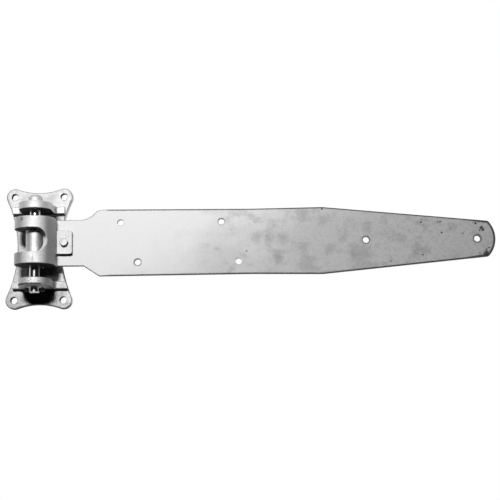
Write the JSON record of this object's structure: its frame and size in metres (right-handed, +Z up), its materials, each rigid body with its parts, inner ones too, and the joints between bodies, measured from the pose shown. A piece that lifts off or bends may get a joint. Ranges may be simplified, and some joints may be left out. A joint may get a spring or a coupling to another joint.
{
  "type": "strap hinge",
  "caption": "Heavy strap hinge for an insulated or industrial door: cast wall flange with lugs, headed pin, windowed barrel and a long tapering strap with bolt holes.",
  "frame": {"origin": "middle of the flange's four bolt holes, on the back face that lies on the door frame", "axes": "+X along the closed strap toward its tip, +Y out of the flange's back into the door frame, +Z up along the hinge pin"},
  "size_m": [0.6627, 0.0742, 0.1656],
  "materials": {
    "flange_casting": "galvanised casting, dull silver",
    "barrel_casting": "galvanised casting, dull silver",
    "strap_plate": "galvanised plate with faint cloudy stains and pits",
    "pin_steel": "turned and polished",
    "wire_steel": "plain drawn wire",
    "screw_steel": "zinc plated"
  },
  "bodies": {
    "frame_side": {"flange": "flange_casting", "hinge_pin": "pin_steel", "split_pin": "wire_steel", "collar": "pin_steel"},
    "door_side": {"barrel": "barrel_casting", "strap": "strap_plate", "tongue_screw": "screw_steel"}
  },
  "joints": [
    {"name": "strap_swing", "type": "hinge", "parent": "frame_side", "child": "door_side", "pos_m": [0, -0.047, 0.0039], "axis": [0, 0, -1], "range_deg": [0, 180]}
  ]
}
